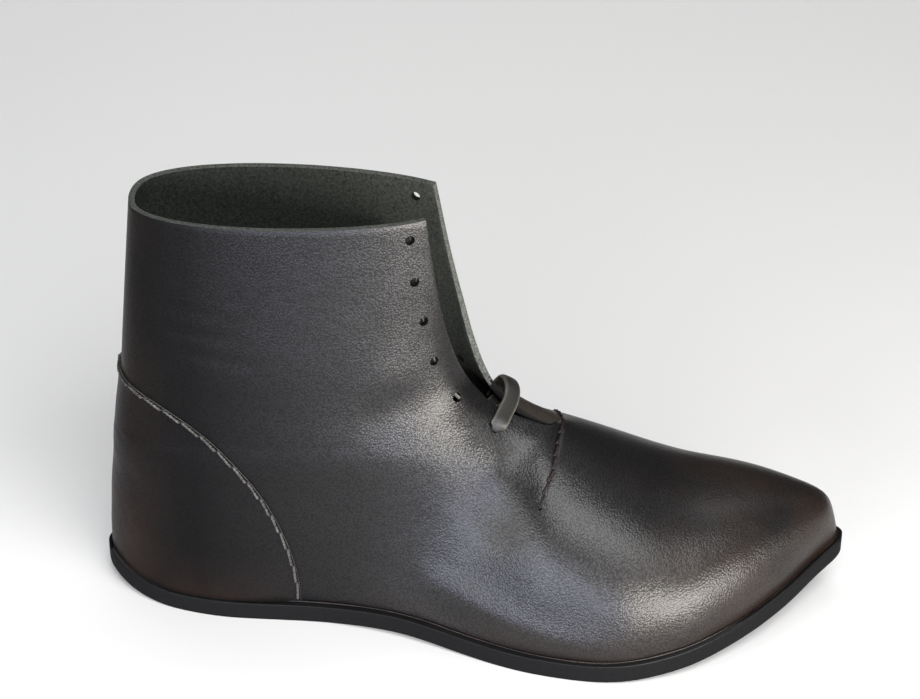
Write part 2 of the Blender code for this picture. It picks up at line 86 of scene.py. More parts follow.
# Lines over the shoe
def lineLength(points):
    return sum((end - start).length for start, end in zip(points, points[1:]))


def evenly(points, count):  # the same line with evenly spaced points
    total = lineLength(points)
    spots = [points[0]]
    done = 0.0
    for start, end in zip(points, points[1:]):
        step = (end - start).length
        while step > 0 and len(spots) < count - 1 and done + step >= total * len(spots) / (count - 1):
            spots.append(start.lerp(end, (total * len(spots) / (count - 1) - done) / step))
        done += step
    return spots + [points[-1]]


def softLine(points, count):  # a smooth line through given points
    slopes = [(after - before) / 2 for before, after in zip(points, points[2:])]
    slopes = [points[1] - points[0]] + slopes + [points[-1] - points[-2]]
    line = []
    for number in range(len(points) - 1):
        start, end = points[number], points[number + 1]
        leave, arrive = start + slopes[number] / 3, end - slopes[number + 1] / 3
        line += interpolate_bezier(start, leave, arrive, end, curveSteps)
    return evenly(line, count)


def directions(line):
    ahead = [line[0]] + list(line) + [line[-1]]
    return [(after - before).normalized() for before, after in zip(ahead, ahead[2:])]


def finderOf(points):  # finds the nearest of these points
    finder = KDTree(len(points))
    for number, point in enumerate(points):
        finder.insert(point, number)
    finder.balance()
    return finder


def onCircle(radius, turn):
    return radius * math.cos(math.tau * turn), radius * math.sin(math.tau * turn)


# Objects in the scene
def addObject(name, data):
    item = bpy.data.objects.new(name, data)
    bpy.context.scene.collection.objects.link(item)
    return item


def wayTo(azimuth, elevation):  # azimuth in degrees, from the shoe's outer side towards the toe
    turn, rise = math.radians(azimuth), math.radians(elevation)
    return Vector((math.sin(turn) * math.cos(rise), -math.cos(turn) * math.cos(rise), math.sin(rise)))


def aim(item, way):
    item.rotation_mode = "QUATERNION"
    item.rotation_quaternion = way.to_track_quat("-Z", "Y")


# Camera, at the photograph's angle to the shoe
cameraView = {
    "elevation": 34.0,
    "azimuth": 4.1,
    "distance": 1150.0,
    "lens": 100.64,
    "target": (127.8, 160.2, 0.0),
    "clip": (0.05, 20.0),
}


def makeCamera():
    camera = addObject("camera", bpy.data.cameras.new("camera"))
    camera.data.lens = cameraView["lens"]
    camera.data.clip_start, camera.data.clip_end = cameraView["clip"]
    back = wayTo(cameraView["azimuth"], cameraView["elevation"])
    camera.location = shoePoint(*cameraView["target"]) + back * cameraView["distance"] * mm
    aim(camera, -back)
    bpy.context.scene.camera = camera


makeCamera()
print("camera set")


# Materials
def toLinear(hexColour):
    parts = [int(hexColour[i:i + 2], 16) / 255 for i in (1, 3, 5)]
    return [p / 12.92 if p <= 0.04045 else ((p + 0.055) / 1.055) ** 2.4 for p in parts] + [1.0]


def addNode(tree, kind, settings=None, links=None):
    node = tree.nodes.new(kind)
    for name, value in (settings or {}).items():
        if isinstance(name, str) and hasattr(node, name):
            setattr(node, name, value)
        else:
            node.inputs[name].default_value = value
    for name, source in (links or {}).items():
        tree.links.new(source, node.inputs[name])
    return node


def newMaterial(name, settings):
    material = bpy.data.materials.new(name)
    material.use_nodes = True
    shader = material.node_tree.nodes["Principled BSDF"]
    for socket, value in settings.items():
        shader.inputs[socket].default_value = value
    return material, material.node_tree, shader


def perMetre(millimetres):  # pattern scale for a real size
    return 1000.0 / millimetres


# Black cowhide, drum dyed and waxed by hand: pebbled grain that sparkles in the light, soft gloss,
# and brown where the dye is thin, at the toe and along the back; the brown down at the sole is a painted
# reflection of a brown floor
hideLook = {
    "black": "#0a0a0b",
    "brown": "#1e1612",
    "toe": (190.0, 250.0),  # heights where the painted floor reflection begins and where it is full
    "back": (34.0, 8.0),
    "foot": (30.0, 9.0),  # heights, in the same way
    "paintedFloorReflection": 0.45,
    "cloudSize": 45.0,
    "cloudBrown": 0.06,
    "grainSize": 0.76,  # grain and pores are drawn a little coarser than real, so that they show
    "poreSize": 0.35,
    "swellSize": 11.0,
    "roughness": (0.27, 0.41),
    "gloss": (0.05, 0.37),
    "glossFrom": (42.0, 118.0),
    "pebbleGloss": (1.3, 0.7),
    "bumpHeight": 0.1,
    "grainRelief": -0.8,
    "swellRelief": 2.2,
}


def makeHide(name, look):
    material, tree, shader = newMaterial(name, {"IOR": 1.5})
    place = addNode(tree, "ShaderNodeTexCoord").outputs["Object"]
    axes = addNode(tree, "ShaderNodeSeparateXYZ", {}, {"Vector": place})
    bands = []
    for band, (start, end) in (("toe", (0.0, 1.0)), ("back", (0.0, 1.0)), ("glossFrom", look["gloss"])):
        first, last = (shoePoint(station, 0, 0).x for station in look[band])
        bands.append(addNode(tree, "ShaderNodeMapRange", {"From Min": first, "From Max": last,
                                                          "To Min": start, "To Max": end},
                             {"Value": axes.outputs["X"]}))
    toe, back, gloss = bands
    # brown low down by the sole: a painted reflection of a brown floor
    clear, full = (height * mm for height in look["foot"])
    foot = addNode(tree, "ShaderNodeMapRange", {"From Min": clear, "From Max": full,
                                                "To Max": look["paintedFloorReflection"]},
                   {"Value": axes.outputs["Z"]})
    ends = addNode(tree, "ShaderNodeMath", {"operation": "MAXIMUM"},
                   {0: toe.outputs["Result"], 1: back.outputs["Result"]})
    thinDyeAndPaintedReflection = addNode(tree, "ShaderNodeMath", {"operation": "MAXIMUM"},
                   {0: ends.outputs["Value"], 1: foot.outputs["Result"]})
    clouds = addNode(tree, "ShaderNodeTexNoise", {"Scale": perMetre(look["cloudSize"]), "Detail": 4.0},
                     {"Vector": place})
    patches = addNode(tree, "ShaderNodeMapRange", {"From Min": 0.35, "From Max": 0.68},
                      {"Value": clouds.outputs["Fac"]})
    tone = addNode(tree, "ShaderNodeMath", {"operation": "MULTIPLY_ADD", "use_clamp": True,
                                            2: look["cloudBrown"]},
                   {0: patches.outputs["Result"], 1: thinDyeAndPaintedReflection.outputs["Value"]})
    colour = addNode(tree, "ShaderNodeMix", {"data_type": "RGBA", 6: toLinear(look["black"]),
                                             7: toLinear(look["brown"])}, {0: tone.outputs["Value"]})
    tree.links.new(colour.outputs[2], shader.inputs["Base Color"])
    grain = addNode(tree, "ShaderNodeTexVoronoi", {"Scale": perMetre(look["grainSize"])}, {"Vector": place})
    bright, dull = look["pebbleGloss"]
    pebbles = addNode(tree, "ShaderNodeMapRange", {"From Min": 0.1, "From Max": 0.7, "To Min": bright,
                                                   "To Max": dull}, {"Value": grain.outputs["Distance"]})
    shine = addNode(tree, "ShaderNodeMath", {"operation": "MULTIPLY"},
                    {0: gloss.outputs["Result"], 1: pebbles.outputs["Result"]})
    tree.links.new(shine.outputs["Value"], shader.inputs["Specular IOR Level"])
    pores = addNode(tree, "ShaderNodeTexNoise", {"Scale": perMetre(look["poreSize"]), "Detail": 2.0},
                    {"Vector": place})
    swell = addNode(tree, "ShaderNodeTexNoise", {"Scale": perMetre(look["swellSize"]), "Detail": 1.0},
                    {"Vector": place})
    relief = addNode(tree, "ShaderNodeMath", {"operation": "MULTIPLY", 1: look["swellRelief"]},
                     {0: swell.outputs["Fac"]})
    height = addNode(tree, "ShaderNodeMath", {"operation": "MULTIPLY_ADD", 1: look["grainRelief"]},
                     {0: grain.outputs["Distance"], 2: relief.outputs["Value"]})
    bump = addNode(tree, "ShaderNodeBump", {"Strength": 1.0, "Distance": look["bumpHeight"] * mm},
                   {"Height": height.outputs["Value"]})
    tree.links.new(bump.outputs["Normal"], shader.inputs["Normal"])
    low, high = look["roughness"]
    rough = addNode(tree, "ShaderNodeMapRange", {"To Min": low, "To Max": high},
                    {"Value": pores.outputs["Fac"]})
    tree.links.new(rough.outputs["Result"], shader.inputs["Roughness"])
    return material


# Flesh side of the hide: short dull nap, grey green with pale and dark fibre specks; the specks of this and
# the other dull surfaces are drawn coarser than real fibres and grit, so that they show
napLook = {"dark": "#171917", "pale": "#343733", "speckSize": 1.0, "bumpHeight": 0.3, "roughness": 0.95}


def makeNap(name, look):
    material, tree, shader = newMaterial(name, {"Roughness": look["roughness"],
                                                "Specular IOR Level": look.get("specular", 0.2)})
    place = addNode(tree, "ShaderNodeTexCoord").outputs["Object"]
    specks = addNode(tree, "ShaderNodeTexNoise", {"Scale": perMetre(look["speckSize"]), "Detail": 4.0,
                                                  "Roughness": 0.7}, {"Vector": place})
    tone = addNode(tree, "ShaderNodeMapRange", {"From Min": 0.35, "From Max": 0.65},
                   {"Value": specks.outputs["Fac"]})
    colour = addNode(tree, "ShaderNodeMix", {"data_type": "RGBA", 6: toLinear(look["dark"]),
                                             7: toLinear(look["pale"])}, {0: tone.outputs["Result"]})
    tree.links.new(colour.outputs[2], shader.inputs["Base Color"])
    bump = addNode(tree, "ShaderNodeBump", {"Strength": 0.6, "Distance": look["bumpHeight"] * mm},
                   {"Height": specks.outputs["Fac"]})
    tree.links.new(bump.outputs["Normal"], shader.inputs["Normal"])
    return material


# Thong cut from the same hide: rounded and rubbed, its borders worn to a paler grey, with fibres drawn
# coarser than real so that they show
thongLook = {"middle": "#1c1b19", "border": "#5b5852", "fibreSize": 0.8, "bumpHeight": 0.08, "roughness": 0.5}


def makeThong(name, look):
    material, tree, shader = newMaterial(name, {"Roughness": look["roughness"], "Specular IOR Level": 0.4})
    place = addNode(tree, "ShaderNodeTexCoord").outputs["Object"]
    fibres = addNode(tree, "ShaderNodeTexNoise", {"Scale": perMetre(look["fibreSize"]), "Detail": 3.0},
                     {"Vector": place})
    worn = addNode(tree, "ShaderNodeAttribute", {"attribute_name": "borderWear"})
    rubbed = addNode(tree, "ShaderNodeMath", {"operation": "MULTIPLY", "use_clamp": True},
                     {0: worn.outputs["Fac"], 1: fibres.outputs["Fac"]})
    colour = addNode(tree, "ShaderNodeMix", {"data_type": "RGBA", 6: toLinear(look["middle"]),
                                             7: toLinear(look["border"])}, {0: rubbed.outputs["Value"]})
    tree.links.new(colour.outputs[2], shader.inputs["Base Color"])
    bump = addNode(tree, "ShaderNodeBump", {"Strength": 0.5, "Distance": look["bumpHeight"] * mm},
                   {"Height": fibres.outputs["Fac"]})
    tree.links.new(bump.outputs["Normal"], shader.inputs["Normal"])
    return material


hide = makeHide("waxed_black_cowhide", hideLook)
# Beside the slit the hide is rubbed brown and dull
rubbedHide = makeHide("rubbed_cowhide", {**hideLook, "black": "#241f1b", "brown": "#2a231e",
                                         "roughness": (0.42, 0.56)})
nap = makeNap("cowhide_flesh_side", napLook)
thong = makeThong("cowhide_thong", thongLook)
# Cut hide shows raw fibres, paler than both sides; the walls of the punched holes are painted near black, as
# painted shade inside the holes
cutEdge = makeNap("cowhide_cut_edge", {"dark": "#222422", "pale": "#5c5f5a", "speckSize": 0.7,
                                       "bumpHeight": 0.3, "roughness": 0.9})
paintedShadeWall = makeNap("wall_painted_shade", {"dark": "#020202", "pale": "#060606", "speckSize": 0.7,
                                        "bumpHeight": 0.1, "roughness": 0.8})
# Insole of smooth brown leather
insoleHide = makeNap("vegetable_tanned_insole", {"dark": "#2a211b", "pale": "#3a2e26", "speckSize": 1.6,
                                                 "bumpHeight": 0.08, "roughness": 0.6})
# Sheet rubber: its edge is ground dull, its top keeps the smooth black skin from the press
rubber = makeNap("ground_sheet_rubber", {"dark": "#09090a", "pale": "#111112", "speckSize": 0.6,
                                         "bumpHeight": 0.06, "roughness": 0.8, "specular": 0.08})
rubberTop = makeNap("pressed_sheet_rubber", {"dark": "#080808", "pale": "#0e0e0e", "speckSize": 2.0,
                                             "bumpHeight": 0.02, "roughness": 0.32})
# Dried sole cement, shiny and a little brown
cement = makeNap("sole_cement", {"dark": "#080706", "pale": "#18110d", "speckSize": 5.0,
                                 "bumpHeight": 0.1, "roughness": 0.22})
# Waxed linen thread: pale grey at the counter, dark with a brown cast on the vamp
paleThread = makeNap("waxed_linen_thread", {"dark": "#1e1d1c", "pale": "#4e4c4a", "speckSize": 1.6,
                                            "bumpHeight": 0.06, "roughness": 0.6})
darkThread = makeNap("blackened_linen_thread", {"dark": "#080605", "pale": "#1c1310", "speckSize": 1.5,
                                                "bumpHeight": 0.06, "roughness": 0.55})
print("materials made")


# Piece helpers
quadJoin = {"bend": math.radians(35), "skew": math.radians(60)}


def editable(mesh):
    bm = bmesh.new()
    bm.from_mesh(mesh)
    return bm


def putBack(bm, mesh):
    bm.to_mesh(mesh)
    bm.free()
    return mesh


def newMesh(name, bm, materials):
    mesh = putBack(bm, bpy.data.meshes.new(name))
    for material in materials:
        mesh.materials.append(material)
    return mesh


def mergedNode(name):  # the solid's triangles come loose, so they are merged first
    bm = editable(nodes[name].data)
    bmesh.ops.remove_doubles(bm, verts=bm.verts, dist=mergeStep)
    return bm


def joinQuads(bm):
    bmesh.ops.join_triangles(bm, faces=bm.faces, angle_face_threshold=quadJoin["bend"],
                             angle_shape_threshold=quadJoin["skew"])


def sharpEdges(bm, angle):
    return [edge for edge in bm.edges if edge.is_manifold and edge.calc_face_angle() > angle]


def rimEdges(bm):  # the upper's sharp edges beside a cut face
    return [edge for edge in sharpEdges(bm, upperCut["rimAngle"])
            if any(face.material_index == cutSide for face in edge.link_faces)]


def creaseRims(bm, choose):  # keeps cut edges crisp under subdivision
    crease = bm.edges.layers.float.new("crease_edge")
    for edge in choose(bm):
        edge[crease] = 1.0


def makePiece(name, bm, materials, replaced=()):
    mesh = newMesh(name, bm, materials)
    mesh.shade_smooth()
    piece = addObject(name, mesh)
    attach(piece, "root")
    if replaced:
        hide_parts(*replaced)
    return piece


def settle(piece):  # puts the modifiers' result into the mesh
    graph = bpy.context.evaluated_depsgraph_get()
    mesh = bpy.data.meshes.new_from_object(piece.evaluated_get(graph))
    piece.modifiers.clear()
    piece.data = mesh


def smoothOut(piece, levels):
    rounding = piece.modifiers.new("Rounding", "SUBSURF")
    rounding.levels = levels
    rounding.render_levels = levels
    settle(piece)


def surfaceOf(piece):
    bm = editable(piece.data)
    tree = BVHTree.FromBMesh(bm)
    bm.free()
    return tree


def laidOn(surface, places, count):  # a smooth line over a surface
    return softLine([surface.find_nearest(shoePoint(*place))[0] for place in places], count)


def inOrder(items):  # a set of mesh parts has no fixed order, and each run must give the same mesh
    return sorted(items, key=lambda item: item.index)


# A closed sleeve along a line: profile(turn, along) gives how far across and how far out each point lies
def sleeve(bm, line, acrossList, sides, profile, looped=False):
    made = bmesh.ops.create_grid(bm, x_segments=sides, y_segments=len(line) - 1, size=0.5)
    ways = directions(line)
    rows = len(line) - 1
    for vert in made["verts"]:
        turn = vert.co.x + 0.5
        number = round((vert.co.y + 0.5) * rows)
        across = acrossList[number] - ways[number] * acrossList[number].dot(ways[number])
        across.normalize()
        out = ways[number].cross(across)
        aside, up = profile(turn, number / rows)
        vert.co = line[number] + across * aside + out * up
    bmesh.ops.remove_doubles(bm, verts=made["verts"], dist=sleeveStep)
    verts = [vert for vert in made["verts"] if vert.is_valid]
    if not looped:
        bm.edges.index_update()
        rims = {edge for vert in verts for edge in vert.link_edges if edge.is_boundary}
        bmesh.ops.holes_fill(bm, edges=inOrder(rims), sides=0)
    bm.faces.index_update()
    bmesh.ops.recalc_face_normals(bm, faces=inOrder({face for vert in verts for face in vert.link_faces}))
    return verts


# Upper; each zone to relax has a height, its slope, a reach, stations it fades in between, and the step back
# that keeps the shape from shrinking
upperCut = {
    "rimAngle": math.radians(45),
    "arrisAngle": math.radians(30),
    "sharpAngle": math.radians(50),
    "sliverFaces": 6,
    "eyeletReach": 3.2,
    "eyeletDiameter": 3.6,
    "eyeletSides": 28,
    "threadHole": 1.3,
    "punchLength": 9.0,
    "seatReach": 10.0,
    "levels": 2,
    "arris": 0.3,
    "relaxPasses": 36,
    "relaxStep": 0.5,
    "relaxCore": 0.4,
    "relaxLeast": 0.01,
    "relaxZones": ((74.0, 0.05, 36.0, (18.0, 55.0), -0.4), (46.0, 0.0, 26.0, (100.0, 60.0), -0.52)),
}
grainSide, fleshSide, cutSide, paintedShadeSide, rubbedSide = range(5)  # the upper's materials, in their order
shaftMiddle = shoePoint(70.0, 0.0, 100.0)

# Creases: depth of each soft trough (below 0) or ridge, its width, and a line of places on the grain side
outerCreases = (
    (-0.45, 5.5, ((154.0, -16.9, 84.5), (156.4, -18.0, 80.5), (158.4, -19.6, 75.5), (160.0, -21.5, 71.0))),
    (0.5, 9.0, ((141.0, -17.5, 91.0), (148.0, -18.0, 83.5), (155.8, -21.6, 73.2), (164.5, -29.2, 64.0),
                (172.4, -38.0, 56.3), (179.0, -42.5, 49.5))),
    (1.5, 7.5, ((118.0, -33.0, 31.0), (130.0, -36.0, 27.0), (149.0, -43.5, 22.0), (171.0, -53.0, 16.5),
                (194.0, -57.5, 13.0), (212.0, -57.0, 12.5))),
    (0.4, 6.5, ((166.5, -8.5, 81.0), (168.7, -13.2, 78.3), (169.8, -18.5, 74.5), (170.0, -24.0, 70.0))),
    (2.6, 6.0, ((151.0, 4.0, 90.5), (158.0, 3.0, 87.5), (167.0, 2.0, 83.0), (177.0, 0.5, 79.0))),
    (-0.9, 8.5, ((147.5, -27.5, 64.0), (152.8, -30.3, 57.5), (159.0, -34.5, 50.5))),
    (-0.7, 9.0, ((108.0, -27.8, 87.0), (116.1, -25.2, 95.1), (125.0, -22.3, 97.0))),
    (0.5, 9.0, ((112.0, -26.0, 106.0), (119.0, -22.5, 112.0))),
    (-0.22, 2.2, ((27.6, -20.0, 127.2), (46.9, -25.7, 127.5), (65.2, -27.5, 125.2))),
    (-0.18, 2.0, ((28.2, -19.3, 137.6), (44.0, -25.0, 136.6), (58.3, -26.3, 134.9))),
    (-0.2, 2.2, ((33.0, -22.5, 118.5), (52.0, -27.5, 118.0), (72.0, -28.0, 115.5))),
)
innerCreases = (
    (-1.0, 3.6, ((154.6, 17.6, 83.0), (157.5, 19.0, 76.0), (159.5, 22.5, 70.5))),
    (0.7, 5.0, ((146.5, 20.0, 82.0), (150.5, 22.0, 74.5), (153.0, 26.0, 67.5))),
    (-1.1, 9.0, ((148.0, 29.0, 62.0), (152.0, 31.0, 57.0), (157.0, 34.0, 52.0))),
    (-0.6, 9.0, ((108.0, 27.0, 88.0), (116.0, 25.0, 95.0), (124.0, 22.5, 98.0))),
    (-0.2, 2.2, ((30.0, 21.5, 126.0), (48.0, 26.0, 127.0), (66.0, 27.5, 124.5))),
)

# Cross seam, over the vamp from one side to the other, which holds the foot of the tongue
crossSeam = {
    "line": ((171.4, -33.6, 61.2), (173.3, -28.1, 67.3), (175.6, -22.7, 71.3), (177.3, -13.7, 75.9),
             (178.1, -5.9, 77.7), (177.6, 2.5, 78.6), (176.6, 11.0, 77.0), (175.0, 18.5, 73.5),
             (173.0, 25.0, 68.5)),
    "points": 120,
    "grooveDepth": 0.35,
    "grooveWidth": 0.9,
    "refineReach": 3.0,
    "refineTimes": 2,
    "pitch": 5.2,
}


def groupsOf(items, beside):  # what is joined through beside(item), group by group
    left = set(items)
    groups = []
    for start in items:
        if start not in left:
            continue
        left.discard(start)
        group = [start]
        for item in group:  # the group grows as it is read
            for other in beside(item):
                if other in left:
                    left.discard(other)
                    group.append(other)
        groups.append(group)
    return groups


def edgeGroups(edges):  # vertices joined by these edges
    groups = groupsOf(edges, lambda edge: [other for vert in edge.verts for other in vert.link_edges])
    return [{vert for edge in group for vert in edge.verts} for group in groups]


def patchEyelets(bm):  # closes the punched holes, to be cut again in the smooth wall
    bm.verts.index_update()
    rims = []
    for group in edgeGroups(sharpEdges(bm, upperCut["rimAngle"])):
        middle = sum((vert.co for vert in inOrder(group)), Vector()) / len(group)
        if max((vert.co - middle).length for vert in group) < upperCut["eyeletReach"] * mm:
            rims.append((middle, group))
    found = []
    rimVerts = set().union(*(group for middle, group in rims))
    rimOrder = inOrder(rimVerts)
    walls = [face for face in bm.faces if all(vert in rimVerts for vert in face.verts)]
    rims.sort(key=lambda rim: (rim[0].y > heelMiddle, rim[0].z))
    for first, second in zip(rims[::2], rims[1::2]):
        inner, outer = sorted((first[0], second[0]), key=lambda spot: (spot - shaftMiddle).length)
        found.append((outer, (outer - inner).normalized()))
    bmesh.ops.delete(bm, geom=walls, context="FACES")
    bmesh.ops.holes_fill(bm, edges=[edge for edge in bm.edges if edge.is_boundary], sides=0)
    bmesh.ops.dissolve_verts(bm, verts=[vert for vert in rimOrder if vert.is_valid])
    bmesh.ops.triangulate(bm, faces=[face for face in bm.faces if len(face.verts) > 4],
                          quad_method="BEAUTY", ngon_method="BEAUTY")
    return found


def markSides(bm):  # the largest region is the grain side, the next the flesh side, the rest cut edges
    rims = set(sharpEdges(bm, upperCut["rimAngle"]))
    regions = groupsOf(bm.faces[:], lambda face: [other for edge in face.edges if edge not in rims
                                                  for other in edge.link_faces])
    regions.sort(key=lambda region: -sum(face.calc_area() for face in region))
    for number, region in enumerate(regions):
        for face in region:
            face.material_index = min(number, cutSide)
    for region in regions[cutSide:]:
        if len(region) >= upperCut["sliverFaces"]:
            continue
        for face in region:  # a sliver beside a patched hole belongs to the skin round it
            beside = [other.material_index for edge in face.edges for other in edge.link_faces
                      if other is not face]
            face.material_index = max(set(beside), key=beside.count)
    print("upper regions", [len(region) for region in regions])


def relax(bm):  # evens out the faint steps between the bands of the last
    rimVerts = {vert for edge in rimEdges(bm) for vert in edge.verts}
    for level, slope, reach, stations, back in upperCut["relaxZones"]:
        chosen = []
        for vert in bm.verts:
            station, aside, height = shoePlace(vert.co)
            share = 1 - ease(upperCut["relaxCore"] * reach, reach, abs(height - level - slope * station))
            share *= ease(0.0, 1.0, (station - stations[0]) / (stations[1] - stations[0]))
            if vert not in rimVerts and share > upperCut["relaxLeast"]:
                chosen.append((vert, share))
        for factor in (upperCut["relaxStep"], back) * upperCut["relaxPasses"]:
            moves = []
            for vert, share in chosen:
                middle = sum((edge.other_vert(vert).co for edge in vert.link_edges), Vector())
                moves.append((middle / len(vert.link_edges) - vert.co) * factor * share)
            for (vert, share), move in zip(chosen, moves):
                vert.co += move


# Throat as worn: the outer flap's edge stands further back and the inner one's further forward, and
# down at its foot the slit lies over to the outer side
throat = {
    "fromHeight": 70.0,
    "heights": (83.0, 92.0, 105.0, 122.0, 144.0, 172.0),
    "edges": (166.0, 150.0, 142.5, 137.5, 133.0, 128.7),
    "outer": (0.0, -2.6, -2.1, -2.1, -1.3, -0.5),
    "inner": (0.0, 2.4, 3.0, 3.0, 1.9, 1.0),
    "outerReach": 9.0,
    "innerReach": 28.0,
    "slide": -6.0,
    "slideIn": (144.0, 157.0),
    "slideOut": (169.0, 179.0),
    "slideReach": (2.0, 16.0),
    "ahead": 4.0,
    "aheadIn": (157.0, 165.0),
    "aheadOut": (168.0, 182.0),
    "curve": 0.021,
    "fall": 0.45,
    "fallIn": (150.0, 160.0),
    "heldSlide": (0.2, 1.0),
    "heldAside": (1.0, 4.0),
}


def between(marks, values, place):
    for first, second, start, end in zip(marks, marks[1:], values, values[1:]):
        if place <= second:
            return start + (end - start) * max((place - first) / (second - first), 0.0)
    return values[-1]


def dressThroat(bm):
    spots = [vert.co.copy() for vert in bm.verts]
    skins = []
    for side in (grainSide, fleshSide):
        faces = [[vert.index for vert in face.verts] for face in bm.faces if face.material_index == side]
        skins.append(BVHTree.FromPolygons(spots, faces))
    for vert in bm.verts:
        station, aside, height = shoePlace(vert.co)
        if height < throat["fromHeight"]:
            continue
        behind = between(throat["heights"], throat["edges"], height) - station
        flap = "outer" if aside < 0 else "inner"
        lead = between(throat["heights"], throat[flap], height)
        lead *= 1 - ease(0.0, throat[flap + "Reach"], behind)
        close = 1 - ease(*throat["slideReach"], abs(aside))
        slid = throat["slide"] * ease(*throat["slideIn"], station)
        slid *= (1 - ease(*throat["slideOut"], station)) * close
        ahead = throat["ahead"] * ease(*throat["aheadIn"], station)
        lead += ahead * (1 - ease(*throat["aheadOut"], station)) * close
        dip = throat["curve"] * ((aside + slid) ** 2 - aside ** 2)
        dip += throat["fall"] * lead * ease(*throat["fallIn"], station)
        vert.co += Vector((lead, slid, -dip)) * mm
        onGrain = any(face.material_index == grainSide for face in vert.link_faces)
        skin = skins[grainSide if onGrain else fleshSide]
        held = ease(*throat["heldSlide"], abs(slid)) * ease(*throat["heldAside"], -aside)
        vert.co = vert.co.lerp(skin.find_nearest(vert.co)[0], held)  # the outer flap slides along the last


pressing = {"spots": 60, "fade": 0.35, "reach": 2.6}


def press(bm, surface, depth, width, line):  # moves both sides of the wall along a line, by a soft profile
    finder = finderOf([vert.co for vert in bm.verts])
    spots = laidOn(surface, line, pressing["spots"])
    nearest = {}
    for number, spot in enumerate(spots):
        share = number / (len(spots) - 1)
        fade = ease(0.0, pressing["fade"], share) * ease(0.0, pressing["fade"], 1 - share)
        for place, index, far in finder.find_range(spot, pressing["reach"] * width * mm):
            amount = fade * math.exp(-(far / (width * mm)) ** 2)
            if amount > nearest.get(index, (0.0, None))[0]:
                nearest[index] = (amount, spot)
    bm.verts.ensure_lookup_table()
    for index, (amount, spot) in nearest.items():
        bm.verts[index].co += surface.find_nearest(spot)[1] * depth * amount * mm


def refineAlong(bm, line, reach, times):  # finer faces on the grain side along a seam
    finder = finderOf(line)
    for time in range(times):
        near = [face for face in bm.faces if face.material_index == grainSide
                and finder.find(face.calc_center_median())[2] < reach * mm]
        bm.edges.index_update()
        edges = inOrder({edge for face in near for edge in face.edges})
        bmesh.ops.subdivide_edges(bm, edges=edges, cuts=1, use_grid_fill=True, smooth=0.0)


def roundArrises(bm):
    sharp = [edge for edge in sharpEdges(bm, upperCut["arrisAngle"])
             if len({face.material_index for face in edge.link_faces}) == 2]
    bmesh.ops.bevel(bm, geom=sharp, offset=upperCut["arris"] * mm, affect="EDGES", segments=2, profile=0.5,
                    material=-1, clamp_overlap=True)


# At the slit's foot the cut edges are painted near black, a painted shadow in the gap, and the hide round it
# is rubbed
slitShadeAndWear = {
    # stations from which the slit's cut edges carry the painted shadow
    "paintedShadeFrom": 151.0,
    "heights": (74.0, 96.0),
    "stations": (154.0, 177.5),
    "aside": (-6.6, 9.0),
    "narrowFrom": 165.0,
    "narrowing": 0.3,
}


def shadeAndRubSlit(bm):
    low, high = slitShadeAndWear["heights"]
    back, front = slitShadeAndWear["stations"]
    for face in bm.faces:
        station, aside, height = shoePlace(face.calc_center_median())
        # cut edges in the slit take the near black wall material: a painted shadow in the gap
        if face.material_index == cutSide and station > slitShadeAndWear["paintedShadeFrom"] and low < height < high:
            face.material_index = paintedShadeSide
        outer, inner = slitShadeAndWear["aside"]
        outer += slitShadeAndWear["narrowing"] * max(station - slitShadeAndWear["narrowFrom"], 0)
        beside = back < station < front and height > low and outer < aside < inner
        if face.material_index == grainSide and beside:
            face.material_index = rubbedSide


def punch(piece, holes):  # holes: outer middle, axis and diameter of each
    bm = bmesh.new()
    for spot, axis, diameter in holes:
        turn = axis.to_track_quat("Z", "Y").to_matrix().to_4x4()
        radius = diameter / 2 * mm
        bmesh.ops.create_cone(bm, cap_ends=True, segments=upperCut["eyeletSides"], radius1=radius,
                              radius2=radius, depth=upperCut["punchLength"] * mm,
                              matrix=Matrix.Translation(spot) @ turn)
    for face in bm.faces:
        # the hole walls take the near black material: painted shade inside the holes
        face.material_index = paintedShadeSide
    punches = addObject("punches", newMesh("punches", bm, piece.data.materials))
    cut = piece.modifiers.new("Punch", "BOOLEAN")
    cut.operation = "DIFFERENCE"
    cut.solver = "EXACT"
    cut.object = punches
    settle(piece)
    bpy.data.objects.remove(punches)
    bm = editable(piece.data)
    bmesh.ops.remove_doubles(bm, verts=bm.verts, dist=mergeStep)
    bmesh.ops.dissolve_degenerate(bm, edges=bm.edges, dist=sliverStep)
    for edge in bm.edges:
        border = len({face.material_index for face in edge.link_faces}) > 1
        bent = edge.is_manifold and edge.calc_face_angle() > upperCut["sharpAngle"]
        edge.smooth = not (border or bent)
    putBack(bm, piece.data)


def makeUpper():
    bm = mergedNode("upper")
    found = patchEyelets(bm)
    print("eyelets found", len(found))
    joinQuads(bm)
    markSides(bm)
    bm.verts.index_update()
    dressThroat(bm)
    relax(bm)
    creaseRims(bm, rimEdges)
    materials = [hide, nap, cutEdge, paintedShadeWall, rubbedHide]
    piece = makePiece("upper_hide", bm, materials, ["upper"])
    smoothOut(piece, upperCut["levels"])
    surface = surfaceOf(piece)
    bm = editable(piece.data)
    seam = laidOn(surface, crossSeam["line"], crossSeam["points"])
    refineAlong(bm, seam, crossSeam["refineReach"], crossSeam["refineTimes"])
    bm.verts.index_update()
    for depth, width, line in outerCreases + innerCreases:
        press(bm, surface, depth, width, line)
    press(bm, surface, -crossSeam["grooveDepth"], crossSeam["grooveWidth"], crossSeam["line"])
    roundArrises(bm)
    shadeAndRubSlit(bm)
    putBack(bm, piece.data)
    return piece, found


upper, eyelets = makeUpper()
grainSkin = surfaceOf(upper)
seatReach = upperCut["seatReach"] * mm
eyelets = [(grainSkin.ray_cast(spot + axis * seatReach, -axis)[0], axis) for spot, axis in eyelets]
print("upper shaped,", len(upper.data.polygons), "faces")


